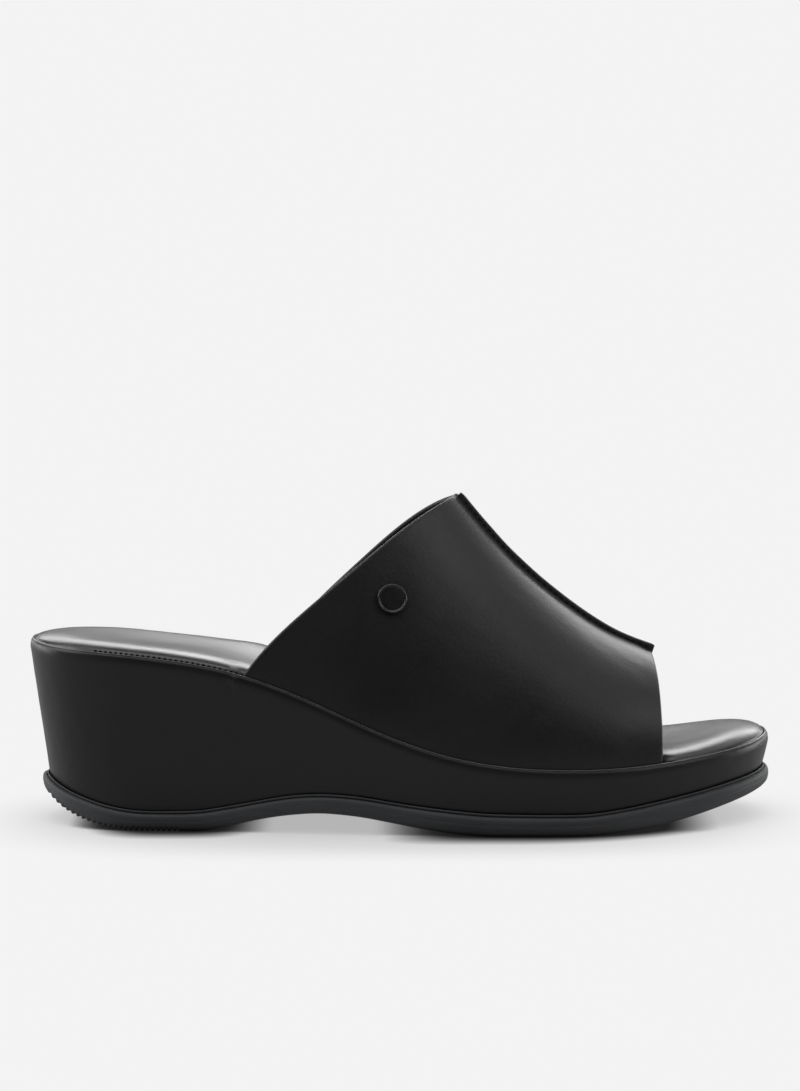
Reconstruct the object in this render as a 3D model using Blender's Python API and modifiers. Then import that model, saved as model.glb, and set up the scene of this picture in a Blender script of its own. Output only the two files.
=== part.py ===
"""Wedge mule, right shoe, as an assembly of separate pieces.

Frame: +X towards the toe, +Y towards the medial (inner) side, +Z up, origin on the ground under the middle of the shoe.
The construction works in millimetres and is scaled to metres when a mesh is made.

A shoe is laid out along s, the distance from the back of the heel. Everything is worked out from the named sizes and the
short tables below: a plan outline, the feather line where upper, footbed and covered wedge meet, the outsole's top and
bottom lines, and a few girth sections of the upper.
"""

import math

import bmesh
import bpy
import numpy as np

MM = 0.001

# ---- driving sizes, in mm --------------------------------------------------------------------------------------------
LENGTH = 246.4  # covered wedge, heel to toe
X_BACK = -123.2  # back of the covered wedge
HEEL_CAP, HEEL_ROUND = 34.0, 2.10  # length and roundness of the heel's end curve
TOE_CAP_LAT, TOE_CAP_MED, TOE_ROUND = 74.0, 54.0, 2.28  # the toe's end curve, lateral and medial
GAP = 0.3  # between pieces that meet
RIM_INSET = 1.4  # feather line, inside the wedge's widest outline
RIM_DROP = 3.0  # how far below the feather line the wedge is widest
WALL = 2.0  # upper: leather and lining together
UPPER_INSET = 0.25  # upper's outer face, inside the feather line
UPPER_TUCK = 1.6  # the wall is made this much deeper and then trimmed to the wedge's top
PAD_CLEAR = 0.35  # footbed's edge, inside the feather line where no upper comes between
PAD_SIDE = 0.9  # straight part of the footbed's edge
PAD_ROUND = 6.5  # width of the rounded shoulder
LIP_OUT = 2.3  # outsole stands this far outside the wedge's foot
LIP_WIDE = 1.5  # width of the lip's top
LIP_HIGH = 0.9  # lip above the outsole's inner floor
FIN_HIGH, FIN_THICK, FIN_ROOT = 2.3, 2.6, 1.2  # raised centre seam: height, thickness, depth into the wall
RIVET_R, RIVET_HIGH = 4.9, 1.5  # cap on the lateral panel

# ---- tables ----------------------------------------------------------------------------------------------------------
# Plan outline at the wedge's widest: s, centre line, half widths towards the lateral and the medial side (before the end curves).
PLAN = np.array(
    [
        # s, centre, lateral, medial
        [0.0, -2.25, 29.8, 29.6],
        [30.0, -2.25, 31.4, 30.8],
        [62.0, -2.75, 32.6, 29.4],
        [92.0, -2.75, 35.2, 30.0],
        [122.0, -1.75, 40.2, 34.5],
        [150.0, -0.25, 44.4, 39.8],
        [175.0, 1.25, 46.0, 42.4],
        [200.0, 3.75, 46.0, 41.6],
        [225.0, 6.25, 44.6, 39.6],
        [246.4, 7.25, 43.2, 38.0],
    ]
)
# Feather line: s, height on the lateral side, how much higher the medial side is (the arch).
FEATHER = np.array(
    [
        # s, z, medial rise
        [0.0, 60.8, 0.0],
        [7.0, 59.9, 0.0],
        [16.0, 59.2, 0.0],
        [31.0, 58.2, 0.0],
        [46.0, 56.5, 0.3],
        [60.0, 54.3, 1.0],
        [76.0, 50.1, 3.0],
        [92.0, 44.1, 4.6],
        [108.0, 37.0, 4.2],
        [124.0, 30.5, 2.4],
        [140.0, 25.7, 0.8],
        [157.0, 22.8, 0.0],
        [176.0, 21.7, 0.0],
        [196.0, 22.0, 0.0],
        [214.0, 23.3, 0.0],
        [230.0, 25.2, 0.0],
        [240.0, 26.8, 0.0],
        [246.4, 28.4, 0.0],
    ]
)
# Outsole: s, height of the lip's top, height of the tread.
SOLE = np.array(
    [
        # s, lip, tread
        [0.0, 18.6, 13.4],
        [4.0, 16.4, 11.0],
        [8.0, 14.3, 7.9],
        [11.0, 12.9, 6.1],
        [15.0, 11.3, 4.2],
        [19.0, 10.2, 2.8],
        [25.0, 8.5, 1.2],
        [32.0, 7.2, 0.3],
        [38.0, 6.5, 0.0],
        [56.0, 6.8, 0.0],
        [66.0, 8.4, 1.7],
        [76.0, 10.3, 4.1],
        [86.0, 12.2, 5.8],
        [97.0, 13.1, 6.7],
        [108.0, 12.6, 6.0],
        [120.0, 10.9, 4.1],
        [132.0, 9.3, 2.0],
        [142.0, 8.3, 0.7],
        [152.0, 7.5, 0.0],
        [182.0, 7.2, 0.0],
        [194.0, 8.4, 0.9],
        [207.0, 10.4, 2.5],
        [219.0, 12.4, 4.8],
        [231.0, 14.5, 7.6],
        [240.0, 16.1, 9.8],
        [247.0, 17.4, 11.8],
    ]
)
# How far the wedge's foot lies inside its widest outline: s, inset.
TAPER = np.array(
    [
        # s, inset
        [0.0, 6.2],
        [14.0, 5.0],
        [34.0, 3.2],
        [70.0, 2.2],
        [110.0, 1.6],
        [170.0, 1.4],
        [220.0, 1.6],
        [246.4, 2.2],
    ]
)
# Crest of the instep, under the raised seam: s, height, side position.
CREST = np.array(
    [
        # s, z, y
        [140.4, 108.6, 0.75],
        [141.6, 107.2, 0.75],
        [153.8, 92.7, 1.15],
        [167.4, 79.4, 1.65],
        [180.9, 68.6, 2.25],
        [194.7, 60.0, 2.95],
        [206.4, 55.2, 3.55],
        [208.4, 54.5, 3.65],
    ]
)
# Girth sections of the upper, from the collar (0) to the toe opening (1): where each foot and the crest stand,
# how full the side is (lower is squarer), and how far the section bows forwards between foot and crest.
GIRTH = np.array(
    [
        # u, s lateral foot, s medial foot, s crest, fullness, lateral bow, medial bow
        [0.00, 71.8, 81.5, 141.6, 1.10, -4.0, -4.4],
        [0.33, 116.0, 121.0, 163.0, 1.06, -1.6, -1.6],
        [0.67, 162.0, 163.0, 184.8, 0.98, 0.0, 0.0],
        [1.00, 208.2, 204.6, 206.4, 0.92, 0.9, 0.9],
    ]
)
# Heights of the footbed above the feather line: s, height.
PAD = np.array(
    [
        # s, height
        [0.0, 2.3],
        [12.0, 2.7],
        [60.0, 3.0],
        [120.0, 3.1],
        [200.0, 3.2],
        [246.4, 3.0],
    ]
)
RIVET_U, RIVET_V = 0.124, 0.186  # place of the rivet on the upper: along it, and from foot (0) to crest (0.5)
HEEL_RIBS = dict(first=7.0, last=50.5, pitch=1.8, deep=0.7, wide=0.95, margin=-6.0)
FORE_RIBS = dict(first=132.0, last=214.0, pitch=5.0, deep=0.8, wide=1.5, margin=4.0)


# ---- curves through tables -------------------------------------------------------------------------------------------
def spline(table, column):
    """A natural cubic spline through one column, as a function of the first column."""
    x, y = table[:, 0], table[:, column]
    n, h = len(x), np.diff(x)
    a, b = np.eye(n), np.zeros(n)
    for i in range(1, n - 1):
        a[i, i - 1 : i + 2] = h[i - 1], 2 * (h[i - 1] + h[i]), h[i]
        b[i] = 6 * ((y[i + 1] - y[i]) / h[i] - (y[i] - y[i - 1]) / h[i - 1])
    m = np.linalg.solve(a, b)

    def at(v):
        v = min(max(v, x[0]), x[-1])
        i = min(max(int(np.searchsorted(x, v)) - 1, 0), n - 2)
        p, q = (x[i + 1] - v) / h[i], (v - x[i]) / h[i]
        return float(
            p * y[i]
            + q * y[i + 1]
            + h[i] ** 2 / 6 * ((p**3 - p) * m[i] + (q**3 - q) * m[i + 1])
        )

    return at


def steady(table, column):
    """A curve that never overshoots its rows, so a flat stretch in the table stays flat."""
    x, y = table[:, 0], table[:, column]
    h, d = np.diff(x), np.diff(y) / np.diff(x)
    m = np.zeros(len(x))
    for i in range(1, len(x) - 1):
        if d[i - 1] * d[i] > 0:
            w1, w2 = 2 * h[i] + h[i - 1], h[i] + 2 * h[i - 1]
            m[i] = (w1 + w2) / (w1 / d[i - 1] + w2 / d[i])
    m[0], m[-1] = d[0], d[-1]

    def at(v):
        v = min(max(v, x[0]), x[-1])
        i = min(max(int(np.searchsorted(x, v)) - 1, 0), len(x) - 2)
        t = (v - x[i]) / h[i]
        return float(
            (1 + 2 * t) * (1 - t) ** 2 * y[i]
            + t * (1 - t) ** 2 * h[i] * m[i]
            + t * t * (3 - 2 * t) * y[i + 1]
            + t * t * (t - 1) * h[i] * m[i + 1]
        )

    return at


plan_centre, plan_lat, plan_med = (spline(PLAN, k) for k in (1, 2, 3))
feather_z, feather_rise = spline(FEATHER, 1), steady(FEATHER, 2)
lip_z, tread_z = steady(SOLE, 1), steady(SOLE, 2)
taper = steady(TAPER, 1)
crest_z, crest_y = spline(CREST, 1), spline(CREST, 2)
girth_lat, girth_med, girth_crest, girth_full, bow_lat, bow_med = (
    steady(GIRTH, k) for k in (1, 2, 3, 4, 5, 6)
)
pad_height = steady(PAD, 1)


def end_curve(d, reach, power):
    """From 0 at an end to 1 at reach: the superellipse that rounds off heel and toe."""
    if d >= reach:
        return 1.0
    return max(0.0, 1 - (1 - max(d, 0.0) / reach) ** power) ** (1 / power)


def half_width(s, side):
    """Half width at s: side -1 is lateral, +1 is medial."""
    w = plan_lat(s) if side < 0 else plan_med(s)
    toe = TOE_CAP_LAT if side < 0 else TOE_CAP_MED
    return (
        w
        * end_curve(s, HEEL_CAP, HEEL_ROUND)
        * end_curve(LENGTH - s, toe, TOE_ROUND)
    )


def edge_y(s, side):
    return plan_centre(s) + side * half_width(s, side)


def ring_stations(n):
    """Stations of a closed ring: up the lateral side from heel to toe, and back down the medial side."""
    row = [LENGTH * (1 - math.cos(math.pi * i / n)) / 2 for i in range(n + 1)]
    return [(s, -1) for s in row] + [(s, 1) for s in row[-2:0:-1]]


def ring_xy(n, offset):
    """The plan outline moved out by offset(s, side) along its own normal, as points and their stations."""
    stations = ring_stations(n)
    fine = 0.02
    points = []
    for s, side in stations:
        if s < 1e-9 or s > LENGTH - 1e-9:  # the tips look straight back and forwards
            normal = np.array([-1.0 if s < 1 else 1.0, 0.0])
        else:
            a, b = max(s - fine, 0.0), min(s + fine, LENGTH)
            along = np.array([b - a, edge_y(b, side) - edge_y(a, side)])
            normal = np.array([-along[1], along[0]]) * side
            normal /= np.linalg.norm(normal)
        base = np.array([X_BACK + s, edge_y(s, side)])
        points.append(base + normal * offset(s, side))
    return np.array(points)


def seat_z(x, y):
    """Height of the surface that footbed and upper stand on: level with the feather line, rising to the arch side."""
    s = min(max(x - X_BACK, 0.0), LENGTH)
    low, high = edge_y(s, -1), edge_y(s, 1)
    t = 0.5 if high - low < 1e-6 else min(max((y - low) / (high - low), 0.0), 1.0)
    return feather_z(s) + feather_rise(s) * t * t * (3 - 2 * t)


def station(x):
    return min(max(x - X_BACK, 0.0), LENGTH)


# ---- building blocks -------------------------------------------------------------------------------------------------
def new_object(name, mesh, collection):
    obj = bpy.data.objects.new(name, mesh)
    collection.objects.link(obj)
    return obj


def body_from_rings(name, rings, n, across, low_cap, high_cap, collection):
    """A closed body: rings of 2n points from the low cap to the high one, each cap a grid between the ring's two sides."""
    bm = bmesh.new()
    loops = [[bm.verts.new(np.asarray(p) * MM) for p in ring] for ring in rings]
    for low, high in zip(loops, loops[1:]):
        for i in range(len(low)):
            j = (i + 1) % len(low)
            bm.faces.new((low[i], low[j], high[j], high[i]))
    for loop, height in ((loops[0], low_cap), (loops[-1], high_cap)):
        rows = []
        for i in range(1, n):
            a, b = loop[i], loop[2 * n - i]
            row = [a]
            for j in range(1, across):
                p = np.array(a.co.lerp(b.co, j / across)) / MM
                row.append(bm.verts.new((p[0] * MM, p[1] * MM, height(p[0], p[1]) * MM)))
            rows.append(row + [b])
        for low, high in zip(rows, rows[1:]):
            for j in range(across):
                bm.faces.new((low[j], low[j + 1], high[j + 1], high[j]))
        for tip, row in ((loop[0], rows[0]), (loop[n], rows[-1])):
            for j in range(across):
                bm.faces.new((tip, row[j], row[j + 1]))
    bmesh.ops.recalc_face_normals(bm, faces=bm.faces)
    mesh = bpy.data.meshes.new(name)
    bm.to_mesh(mesh)
    bm.free()
    return new_object(name, mesh, collection)


def ring(n, offset, height):
    return [
        (p[0], p[1], height(p[0], p[1])) for p in ring_xy(n, offset)
    ]


def material(name, colour, roughness, metallic=0.0, coat=0.0):
    m = bpy.data.materials.new(name)
    m.use_nodes = True
    shader = m.node_tree.nodes["Principled BSDF"]
    shader.inputs["Base Color"].default_value = (*colour, 1.0)
    shader.inputs["Roughness"].default_value = roughness
    shader.inputs["Metallic"].default_value = metallic
    shader.inputs["Coat Weight"].default_value = coat
    return m


def boolean(obj, other, operation):
    modifier = obj.modifiers.new(operation.lower(), "BOOLEAN")
    modifier.operation = operation
    modifier.object = other
    other.hide_render = True
    other.display_type = "WIRE"


def smooth(obj, angle=35):
    obj.data.shade_smooth()
    obj.data.set_sharp_from_angle(angle=math.radians(angle))


# ---- pieces ----------------------------------------------------------------------------------------------------------
def wedge_foot(s, side):
    return -taper(s)


def make_outsole(parts, cutters, n=44, across=6):
    """The rubber unit: a shallow tray whose lip stands round the wedge's foot, with a rolled heel and toe spring."""

    def out(d):
        return lambda s, side: wedge_foot(s, side) + d

    def lip(d):
        return lambda x, y: lip_z(station(x)) + d

    def tread(d):
        return lambda x, y: tread_z(station(x)) + d

    def side_wall(share):
        return lambda x, y: (
            (tread_z(station(x)) + 1.0) * (1 - share)
            + (lip_z(station(x)) - 0.7) * share
        )

    rings = [
        ring(n, out(LIP_OUT - 2.6), tread(0.0)),
        ring(n, out(LIP_OUT - 1.1), tread(0.25)),
        ring(n, out(LIP_OUT - 0.35), side_wall(0.0)),
        ring(n, out(LIP_OUT), side_wall(0.5)),
        ring(n, out(LIP_OUT), side_wall(1.0)),
        ring(n, out(LIP_OUT - 0.55), lip(0.0)),
        ring(n, out(LIP_OUT - LIP_WIDE), lip(0.0)),
        ring(n, out(GAP + 0.1), lip(-LIP_HIGH)),
    ]
    sole = body_from_rings(
        "outsole", rings, n, across, tread(0.0), lip(-LIP_HIGH), parts
    )
    for label, ribs in (("heel", HEEL_RIBS), ("forefoot", FORE_RIBS)):
        cutter = groove_cutter(label + "_grooves", ribs, cutters)
        boolean(sole, cutter, "DIFFERENCE")
    return sole


def groove_cutter(name, ribs, cutters):
    """Bars laid across the tread, one for each groove, each turned to stand square to the tread where it cuts."""
    bm = bmesh.new()
    s = ribs["first"]
    while s <= ribs["last"] + 1e-6:
        slope = (tread_z(s + 0.5) - tread_z(s - 0.5)) / 1.0
        turn = math.atan(slope)
        made = bmesh.ops.create_cube(bm, size=1.0)["verts"]
        reach = 2.0  # below the tread, so that the cut is clean
        low, high = edge_y(s, -1) + ribs["margin"], edge_y(s, 1) - ribs["margin"]
        for v in made:
            along, across, up = v.co
            along *= ribs["wide"] * (1.0 if up < 0 else 0.55)
            up = up * (ribs["deep"] + reach) + (ribs["deep"] - reach) / 2
            v.co = (
                (X_BACK + s + along * math.cos(turn) - up * math.sin(turn)) * MM,
                ((low + high) / 2 + across * (high - low)) * MM,
                (tread_z(s) + along * math.sin(turn) + up * math.cos(turn)) * MM,
            )
        s += ribs["pitch"]
    bmesh.ops.recalc_face_normals(bm, faces=bm.faces)
    mesh = bpy.data.meshes.new(name)
    bm.to_mesh(mesh)
    bm.free()
    return new_object(name, mesh, cutters)


def make_wedge(parts, n=44, across=6):
    """The leather-covered wedge: its foot sits in the outsole's tray, its wall leans out to the widest line and rolls in to the feather line."""

    def foot_z(x, y):
        return lip_z(station(x)) - LIP_HIGH + GAP

    def wall(share):
        def offset(s, side):
            return wedge_foot(s, side) * (1 - share)

        def height(x, y):
            low = foot_z(x, y)
            return low + (seat_z(x, y) - RIM_DROP - low) * share

        return ring(n, offset, height)

    def rim(inset, drop):
        return ring(n, lambda s, side: -inset, lambda x, y: seat_z(x, y) - drop)

    rings = [
        wall(0.0),
        wall(0.34),
        wall(0.67),
        wall(1.0),
        rim(0.25, 1.9),
        rim(0.75, 0.6),
        rim(RIM_INSET, 0.0),
        rim(RIM_INSET + 4.0, 0.0),
    ]
    return body_from_rings("wedge", rings, n, across, foot_z, seat_z, parts)


def pad_inset(s, side):
    """The footbed steps in behind the upper's wall, and meets the feather line in front of and behind it."""
    first = girth_lat(0) if side < 0 else girth_med(0)
    last = girth_lat(1) if side < 0 else girth_med(1)
    ramp = 7.0

    def step(v):
        v = min(max(v, 0.0), 1.0)
        return v * v * (3 - 2 * v)

    first, last = first - 2.0, last + 2.0
    behind = step((s - (first - ramp)) / ramp) * step(((last + ramp) - s) / ramp)
    return PAD_CLEAR + behind * (UPPER_INSET + WALL + 0.6 - PAD_CLEAR)


def make_insole(parts, n=44, across=6):
    """The padded footbed: a straight edge, a rounded shoulder and a softly dished top."""

    def pad_top(inset):
        """Height above the seat at this distance in from the pad's edge."""
        t = min(inset / PAD_ROUND, 1.0)
        return math.sqrt(1 - (1 - t) ** 2)

    def layer(inset, share):
        def height(x, y):
            h = pad_height(station(x))
            return seat_z(x, y) + PAD_SIDE + (h - PAD_SIDE) * share

        return ring(
            n, lambda s, side: -(RIM_INSET + pad_inset(s, side) + inset), height
        )

    def bottom(x, y):
        return seat_z(x, y) + GAP

    def top(x, y):
        s = station(x)
        low, high = edge_y(s, -1), edge_y(s, 1)
        t = min(max((y - low) / max(high - low, 1e-6), 0.0), 1.0)
        ends = [min(max((d - 10) / 35, 0.0), 1.0) for d in (s, LENGTH - s)]
        dish = 0.7 * math.sin(math.pi * t) ** 2
        for e in ends:
            dish *= e * e * (3 - 2 * e)
        return seat_z(x, y) + pad_height(s) - dish

    rings = [
        ring(
            n,
            lambda s, side: -(RIM_INSET + pad_inset(s, side)),
            bottom,
        )
    ]
    for inset in (0.0, 0.35, 1.3, 2.8, PAD_ROUND):
        rings.append(layer(inset, pad_top(inset)))
    return body_from_rings("insole", rings, n, across, bottom, top, parts)


def foot_point(s, side):
    """Where the upper's outer face stands on the wedge."""
    fine = 0.02
    a, b = s - fine, s + fine
    along = np.array([b - a, edge_y(b, side) - edge_y(a, side)])
    normal = np.array([-along[1], along[0]]) * side
    normal /= np.linalg.norm(normal)
    p = np.array([X_BACK + s, edge_y(s, side)]) - normal * (RIM_INSET + UPPER_INSET)
    return np.array([p[0], p[1], seat_z(p[0], p[1]) + GAP - UPPER_TUCK])


def upper_point(u, v):
    """The upper's outer face: u runs from collar to toe opening, v from the lateral foot (0) over the crest (0.5) to the medial foot (1)."""
    side = -1 if v <= 0.5 else 1
    turn = (v if v <= 0.5 else 1 - v) * math.pi  # 0 at the foot, a quarter turn at the crest
    s_foot = girth_lat(u) if side < 0 else girth_med(u)
    foot = foot_point(s_foot, side)
    s_crest = girth_crest(u)
    crest = np.array([X_BACK + s_crest, crest_y(s_crest), crest_z(s_crest)])
    rise = math.sin(turn)
    wide = max(math.cos(turn), 0.0) ** girth_full(u)
    bow = (bow_lat(u) if side < 0 else bow_med(u)) * (1 - abs(2 * rise - 1) ** 3.5)
    lean = crest - foot
    tilt = math.atan2(lean[2], lean[0])  # the section's own lean in side view
    return np.array(
        [
            foot[0] + lean[0] * rise + bow * math.sin(tilt),
            crest[1] + (foot[1] - crest[1]) * wide,
            foot[2] + lean[2] * rise - bow * math.cos(tilt),
        ]
    )


def crest_frame(s):
    """Point on the crest, the direction along it, and the direction straight out of it."""
    a, b = s - 0.3, s + 0.3
    along = np.array(
        [b - a, crest_y(b) - crest_y(a), crest_z(b) - crest_z(a)]
    )
    along /= np.linalg.norm(along)
    out = np.array([-along[2], 0.0, along[0]])
    out /= np.linalg.norm(out)
    if out[2] < 0:
        out = -out
    return np.array([X_BACK + s, crest_y(s), crest_z(s)]), along, out


def make_upper(parts, cutters, nu=20, nv=40):
    """Two panels over the instep as one hollow wall, open at the collar, the toe and underneath, with the seam between them raised along the crest."""
    bm = bmesh.new()
    grid = [
        [bm.verts.new(upper_point(i / nu, j / nv) * MM) for j in range(nv + 1)]
        for i in range(nu + 1)
    ]
    for i in range(nu):
        for j in range(nv):
            bm.faces.new(
                (grid[i][j], grid[i + 1][j], grid[i + 1][j + 1], grid[i][j + 1])
            )
    bmesh.ops.recalc_face_normals(bm, faces=bm.faces)
    middle = sum((v.co for v in bm.verts), start=bm.verts[:][0].co * 0) / len(bm.verts)
    outward = sum((f.calc_center_median() - middle).dot(f.normal) for f in bm.faces)
    if outward < 0:
        bmesh.ops.reverse_faces(bm, faces=bm.faces)
    mesh = bpy.data.meshes.new("upper")
    bm.to_mesh(mesh)
    bm.free()
    obj = new_object("upper", mesh, parts)
    shell = obj.modifiers.new("wall", "SOLIDIFY")
    shell.thickness = WALL * MM
    shell.offset = -1.0
    shell.use_even_offset = True
    boolean(obj, make_fin(cutters), "UNION")
    boolean(obj, make_seat_trim(cutters), "DIFFERENCE")
    return obj


def make_seat_trim(cutters, n=44, across=6):
    """A block whose top follows the wedge's top, one gap above it: it trims the upper's foot."""

    def top(x, y):
        return seat_z(x, y) + GAP

    def bottom(x, y):
        return seat_z(x, y) - 12.0

    rings = [ring(n, lambda s, side: 3.0, bottom), ring(n, lambda s, side: 3.0, top)]
    return body_from_rings("seat_trim", rings, n, across, bottom, top, cutters)


def make_fin(cutters, steps=24):
    """The two panels' edges stand up together along the crest: a thin strip with a rounded top edge."""
    half, top = FIN_THICK / 2, FIN_HIGH
    outline = [
        (-half, -FIN_ROOT),
        (half, -FIN_ROOT),
        (half, top - 0.5),
        (half - 0.5, top),
        (-half + 0.5, top),
        (-half, top - 0.5),
    ]
    bm = bmesh.new()
    rows = []
    for i in range(steps + 1):
        first, last = girth_crest(0) + 0.1, girth_crest(1) + 0.9
        point, along, out = crest_frame(first + (last - first) * i / steps)
        beside = np.cross(out, along)
        rows.append(
            [bm.verts.new((point + beside * a + out * b) * MM) for a, b in outline]
        )
    for low, high in zip(rows, rows[1:]):
        for i in range(len(outline)):
            j = (i + 1) % len(outline)
            bm.faces.new((low[i], low[j], high[j], high[i]))
    bm.faces.new(rows[0])
    bm.faces.new(rows[-1])
    bmesh.ops.recalc_face_normals(bm, faces=bm.faces)
    mesh = bpy.data.meshes.new("centre_seam")
    bm.to_mesh(mesh)
    bm.free()
    return new_object("centre_seam", mesh, cutters)


def surface_frame(u, v):
    """Point and outward normal on the upper's outer face."""
    e = 0.004
    p = upper_point(u, v)
    du = upper_point(u + e, v) - upper_point(u - e, v)
    dv = upper_point(u, v + e) - upper_point(u, v - e)
    normal = np.cross(du, dv)
    normal /= np.linalg.norm(normal)
    if normal[1] > 0:  # the lateral panel faces -Y
        normal = -normal
    return p, normal


def make_rivet(parts):
    """A low cap with a rolled rim and a sunken face, set on the lateral panel near the collar."""
    # Profile from the face's middle, over the rim, to the back: radius, height.
    profile = [
        (0.0, RIVET_HIGH - 0.45),
        (RIVET_R - 0.95, RIVET_HIGH - 0.45),
        (RIVET_R - 0.75, RIVET_HIGH - 0.1),
        (RIVET_R - 0.4, RIVET_HIGH),
        (RIVET_R - 0.1, RIVET_HIGH - 0.25),
        (RIVET_R, RIVET_HIGH - 0.7),
        (RIVET_R - 0.2, 0.0),
        (0.0, 0.0),
    ]
    mesh = bpy.data.meshes.new("rivet")
    mesh.from_pydata(
        [(r * MM, 0.0, z * MM) for r, z in profile],
        [(i, i + 1) for i in range(len(profile) - 1)],
        [],
    )
    obj = new_object("rivet", mesh, parts)
    turn = obj.modifiers.new("turn", "SCREW")
    turn.axis = "Z"
    turn.steps = turn.render_steps = 32
    turn.use_merge_vertices = True
    turn.merge_threshold = 0.00001
    turn.use_smooth_shade = True
    point, normal = surface_frame(RIVET_U, RIVET_V)
    obj.location = (point + normal * GAP) * MM
    z_axis = normal
    x_axis = np.cross([0.0, 0.0, 1.0], z_axis)
    x_axis /= np.linalg.norm(x_axis)
    y_axis = np.cross(z_axis, x_axis)
    from mathutils import Matrix

    obj.rotation_euler = (
        Matrix(np.column_stack([x_axis, y_axis, z_axis]).tolist()).to_euler()
    )
    return obj


def main():
    for obj in list(bpy.data.objects):
        bpy.data.objects.remove(obj, do_unlink=True)
    scene = bpy.context.scene
    parts = bpy.data.collections.new("wedge_mule")
    cutters = bpy.data.collections.new("cutters")
    for collection in (parts, cutters):
        scene.collection.children.link(collection)

    leather = material("black_smooth_leather", (0.012, 0.012, 0.013), 0.38, coat=0.15)
    cover = material("black_wedge_cover", (0.014, 0.014, 0.014), 0.46, coat=0.08)
    lining = material("black_footbed_leather", (0.030, 0.030, 0.029), 0.34, coat=0.2)
    rubber = material("dark_grey_rubber", (0.036, 0.037, 0.040), 0.62)
    metal = material("black_enamelled_metal", (0.010, 0.010, 0.011), 0.30, 0.6)

    for obj, finish in (
        (make_outsole(parts, cutters), rubber),
        (make_wedge(parts), cover),
        (make_insole(parts), lining),
        (make_upper(parts, cutters), leather),
        (make_rivet(parts), metal),
    ):
        obj.data.materials.append(finish)
        smooth(obj)


main()
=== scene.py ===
"""Wedge mule, right shoe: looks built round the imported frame.

Lengths are worked out in millimetres, in the frame's own axes: +X to the toe, +Y to the medial side, +Z up.
"""

import math

import bmesh
import bpy
import numpy as np
from mathutils import Matrix, Vector


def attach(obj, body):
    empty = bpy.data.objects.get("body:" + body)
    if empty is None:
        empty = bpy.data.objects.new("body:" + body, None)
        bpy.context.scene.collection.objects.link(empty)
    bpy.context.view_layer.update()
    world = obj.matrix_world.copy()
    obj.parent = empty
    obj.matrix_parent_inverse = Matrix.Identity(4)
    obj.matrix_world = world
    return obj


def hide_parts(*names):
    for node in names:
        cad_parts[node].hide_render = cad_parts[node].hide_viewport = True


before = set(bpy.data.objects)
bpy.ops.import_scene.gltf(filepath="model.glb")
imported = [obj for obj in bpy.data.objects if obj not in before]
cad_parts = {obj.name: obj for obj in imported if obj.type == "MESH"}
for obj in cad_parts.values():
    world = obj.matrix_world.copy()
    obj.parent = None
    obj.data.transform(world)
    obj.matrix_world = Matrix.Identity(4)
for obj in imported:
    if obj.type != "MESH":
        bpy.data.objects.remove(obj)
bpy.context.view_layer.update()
MM = 0.001

# ---- sizes and tables, the same as the frame's ---------------------------------------------------------------------
LENGTH, X_BACK = 246.4, -123.2
HEEL_CAP, HEEL_ROUND = 34.0, 2.10
TOE_CAP_LAT, TOE_CAP_MED, TOE_ROUND = 74.0, 54.0, 2.28
RIM_INSET = 1.4
WALL = 2.0
UPPER_INSET = 0.25
UPPER_TUCK = 1.2
LIP_HIGH = 0.9
FIN_HIGH, FIN_ROOT = 2.3, 1.3
RIVET_R, RIVET_HIGH = 4.9, 1.5
RIVET_U, RIVET_V = 0.124, 0.186

PLAN = np.array(  # s, centre, lateral, medial
    [
        [0.0, -2.25, 29.8, 29.6],
        [30.0, -2.25, 31.4, 30.8],
        [62.0, -2.75, 32.6, 29.4],
        [92.0, -2.75, 35.2, 30.0],
        [122.0, -1.75, 40.2, 34.5],
        [150.0, -0.25, 44.4, 39.8],
        [175.0, 1.25, 46.0, 42.4],
        [200.0, 3.75, 46.0, 41.6],
        [225.0, 6.25, 44.6, 39.6],
        [246.4, 7.25, 43.2, 38.0],
    ]
)
FEATHER = np.array(  # s, z, medial rise
    [
        [0.0, 60.8, 0.0],
        [7.0, 59.9, 0.0],
        [16.0, 59.2, 0.0],
        [31.0, 58.2, 0.0],
        [46.0, 56.5, 0.3],
        [60.0, 54.3, 1.0],
        [76.0, 50.1, 3.0],
        [92.0, 44.1, 4.6],
        [108.0, 37.0, 4.2],
        [124.0, 30.5, 2.4],
        [140.0, 25.7, 0.8],
        [157.0, 22.8, 0.0],
        [176.0, 21.7, 0.0],
        [196.0, 22.0, 0.0],
        [214.0, 23.3, 0.0],
        [230.0, 25.2, 0.0],
        [240.0, 26.8, 0.0],
        [246.4, 28.4, 0.0],
    ]
)
SOLE = np.array(  # s, lip, tread
    [
        [0.0, 18.6, 13.4],
        [4.0, 16.4, 11.0],
        [8.0, 14.3, 7.9],
        [11.0, 12.9, 6.1],
        [15.0, 11.3, 4.2],
        [19.0, 10.2, 2.8],
        [25.0, 8.5, 1.2],
        [32.0, 7.2, 0.3],
        [38.0, 6.5, 0.0],
        [56.0, 6.8, 0.0],
        [66.0, 8.4, 1.7],
        [76.0, 10.3, 4.1],
        [86.0, 12.2, 5.8],
        [97.0, 13.1, 6.7],
        [108.0, 12.6, 6.0],
        [120.0, 10.9, 4.1],
        [132.0, 9.3, 2.0],
        [142.0, 8.3, 0.7],
        [152.0, 7.5, 0.0],
        [182.0, 7.2, 0.0],
        [194.0, 8.4, 0.9],
        [207.0, 10.4, 2.5],
        [219.0, 12.4, 4.8],
        [231.0, 14.5, 7.6],
        [240.0, 16.1, 9.8],
        [247.0, 17.4, 11.8],
    ]
)
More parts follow.
